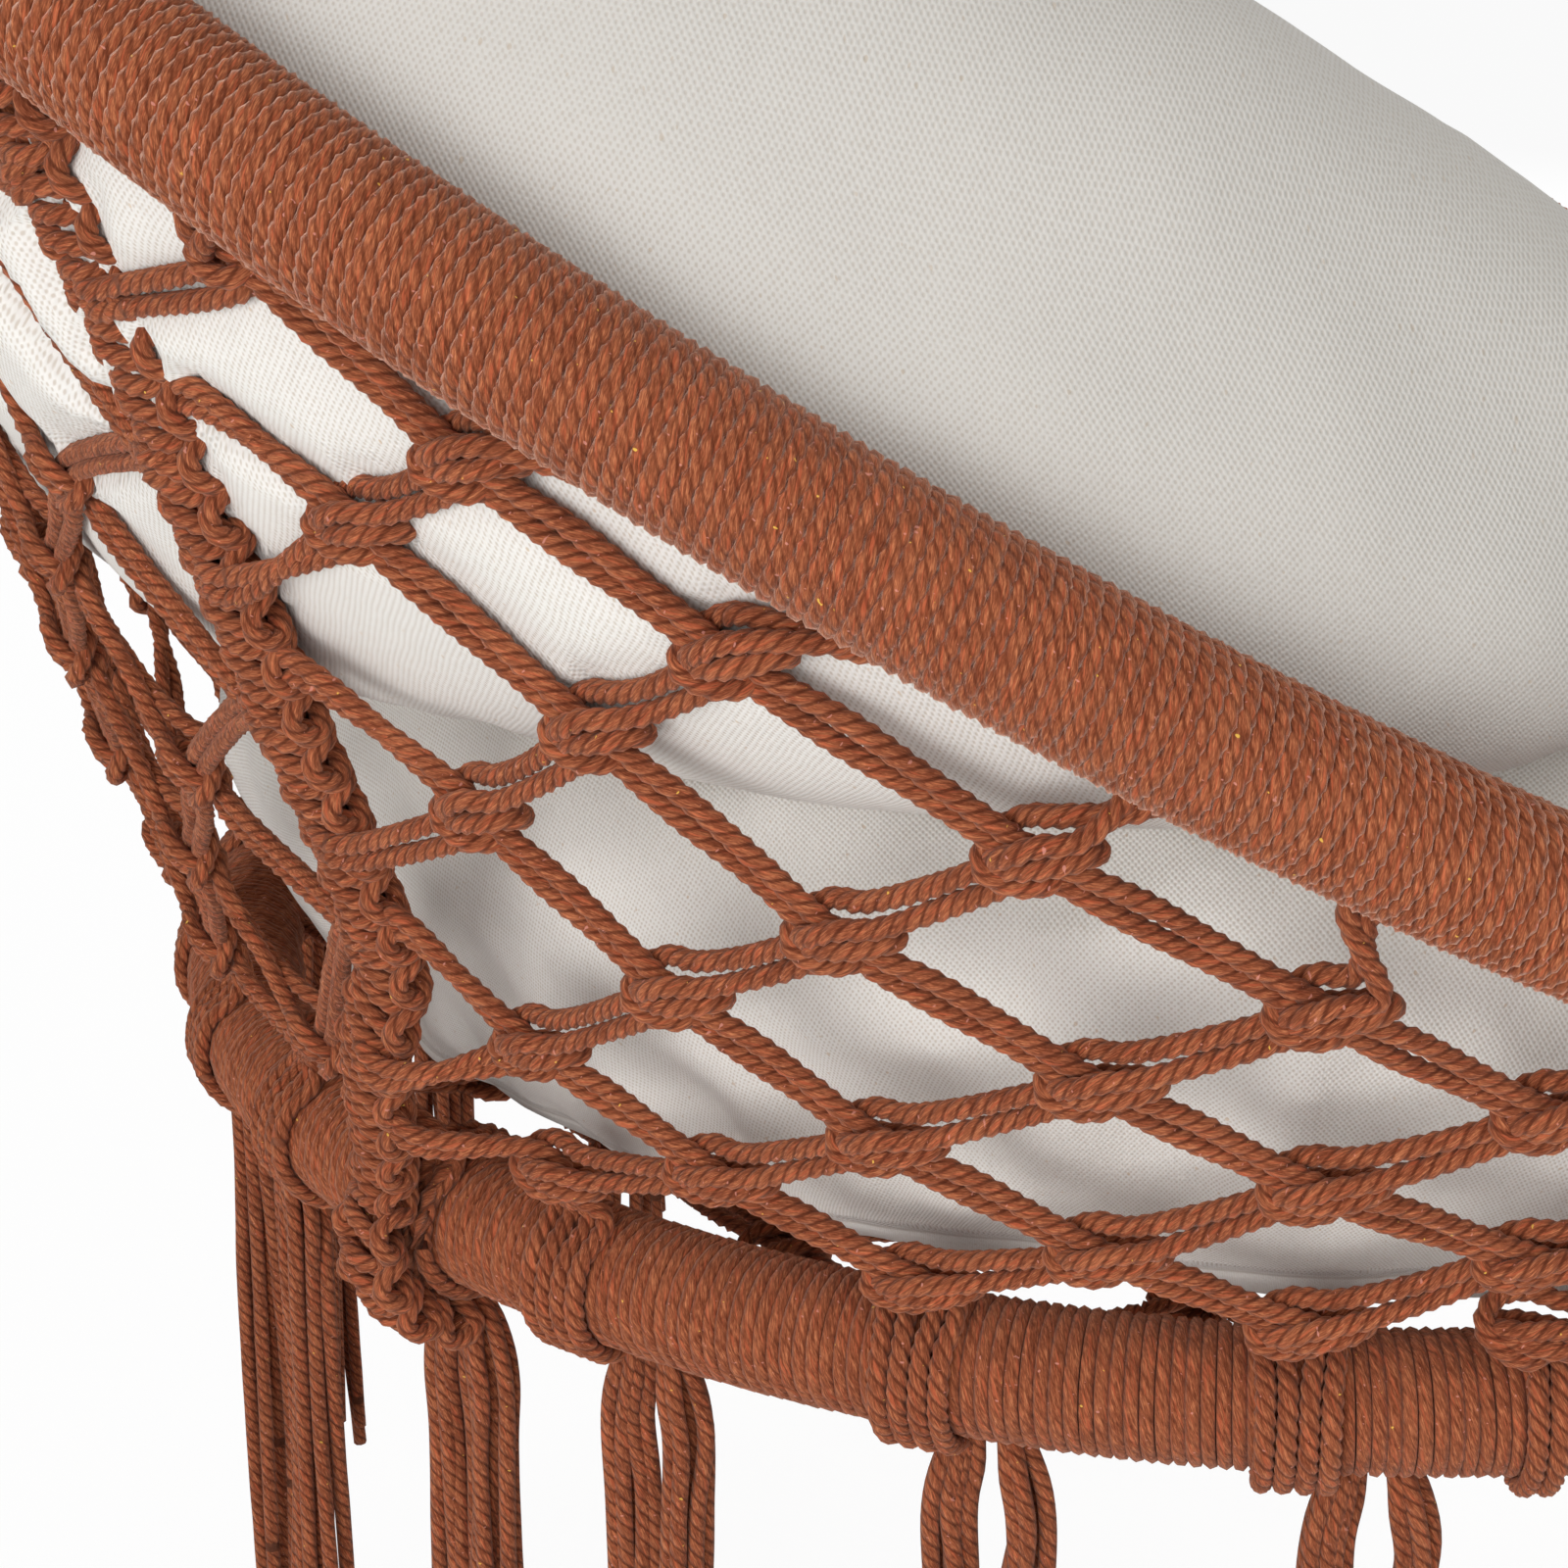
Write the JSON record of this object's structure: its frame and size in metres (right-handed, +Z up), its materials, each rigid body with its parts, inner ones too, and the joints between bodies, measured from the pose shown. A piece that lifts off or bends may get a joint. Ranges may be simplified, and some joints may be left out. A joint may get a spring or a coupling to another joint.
{
  "type": "macrame hammock chair",
  "caption": "Round macramé hanging chair: a tilted cord-wound hoop over a smaller seat hoop, knotted rust cord net between them, cream canvas cushions, tassels, and ropes to a steel ring",
  "frame": {"origin": "the point of the hanging ring's inner face that rests on a hook, at the top of the ring's hole", "axes": "+Z up along the hanging line, the front of the chair towards -Y, +X to a sitter's left, X across the chair"},
  "size_m": [0.8319, 0.7564, 1.3425],
  "materials": {
    "plated_steel": "satin",
    "coated_tube": "satin",
    "cord_winding": "matte",
    "cotton_cord": "matte",
    "canvas": "matte"
  },
  "bodies": {
    "ring": {"hanging_ring": "plated_steel"},
    "chair": {"back_cushion": "canvas", "back_net_1": "cotton_cord", "back_net_2": "cotton_cord", "back_net_3": "cotton_cord", "back_net_4": "cotton_cord", "crown_winding": "cotton_cord", "front_tie": "cotton_cord", "left_back_braid": "cotton_cord", "left_back_rim_lashing": "cotton_cord", "left_back_rope": "cotton_cord", "left_back_seat_lashing": "cotton_cord", "left_front_braid": "cotton_cord", "left_front_rim_lashing": "cotton_cord", "left_front_rope": "cotton_cord", "left_front_seat_lashing": "cotton_cord", "left_side_net_fore": "cotton_cord", "left_side_net_rear": "cotton_cord", "right_back_braid": "cotton_cord", "right_back_rim_lashing": "cotton_cord", "right_back_rope": "cotton_cord", "right_back_seat_lashing": "cotton_cord", "right_front_braid": "cotton_cord", "right_front_rim_lashing": "cotton_cord", "right_front_rope": "cotton_cord", "right_front_seat_lashing": "cotton_cord", "right_side_net_fore": "cotton_cord", "right_side_net_rear": "cotton_cord", "rim_tube": "coated_tube", "rim_winding_back": "cord_winding", "rim_winding_front": "cord_winding", "rim_winding_left": "cord_winding", "rim_winding_right": "cord_winding", "seat_cushion": "canvas", "seat_hoop_tube": "coated_tube", "seat_hoop_winding_back": "cord_winding", "seat_hoop_winding_front": "cord_winding", "seat_hoop_winding_left": "cord_winding", "seat_hoop_winding_right": "cord_winding", "seat_net": "cotton_cord", "tassel_1": "cotton_cord", "tassel_10": "cotton_cord", "tassel_11": "cotton_cord", "tassel_12": "cotton_cord", "tassel_13": "cotton_cord", "tassel_14": "cotton_cord", "tassel_15": "cotton_cord", "tassel_16": "cotton_cord", "tassel_17": "cotton_cord", "tassel_2": "cotton_cord", "tassel_3": "cotton_cord", "tassel_4": "cotton_cord", "tassel_5": "cotton_cord", "tassel_6": "cotton_cord", "tassel_7": "cotton_cord", "tassel_8": "cotton_cord", "tassel_9": "cotton_cord"}
  },
  "joints": [
    {"name": "swing", "type": "hinge", "parent": "ring", "child": "chair", "pos_m": [0, 0, -0.065], "axis": [1, 0, 0], "range_deg": [-25, 25]}
  ]
}
